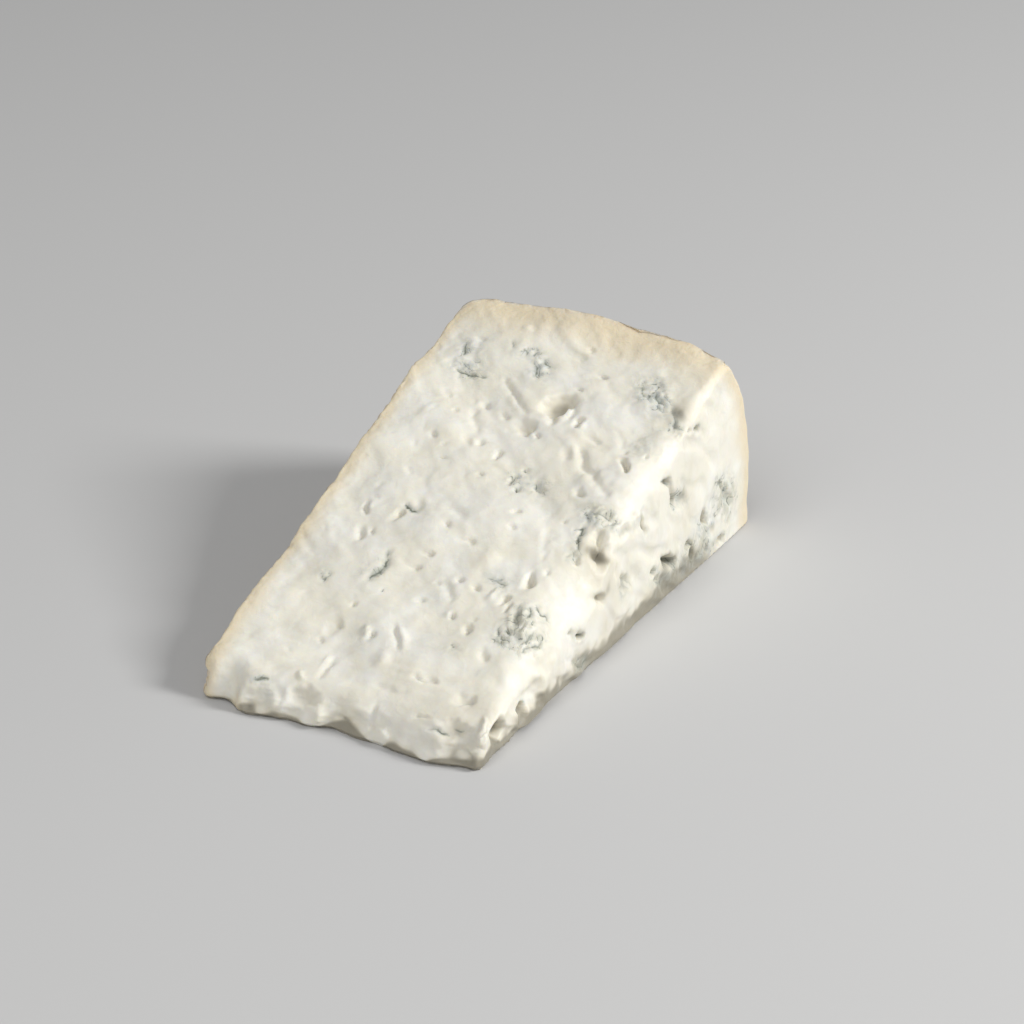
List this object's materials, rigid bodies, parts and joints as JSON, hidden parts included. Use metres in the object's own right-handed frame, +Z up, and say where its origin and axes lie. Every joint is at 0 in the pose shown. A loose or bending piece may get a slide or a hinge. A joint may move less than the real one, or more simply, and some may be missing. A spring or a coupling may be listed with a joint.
{
  "type": "blue cheese wedge",
  "caption": "Wedge of soft creamy blue cheese cut from a halved wheel and lying on a cut side, with a thin torn nose, a crumbly cut face and a curved rind at the back.",
  "frame": {"origin": "on the table, in the middle of the box round the wedge", "axes": "+X along the wheel's own axis, from the flat rind towards the cut that halved the wheel; +Y along the wheel's radius, from the thin nose to the curved rind; +Z up"},
  "size_m": [0.0812, 0.1576, 0.0571],
  "materials": {
    "paste": "moist cream white cut paste with grey-green mould veins and a beige rind, semi-matt"
  },
  "bodies": {
    "root": {"cheese_wedge": "paste"}
  },
  "joints": []
}
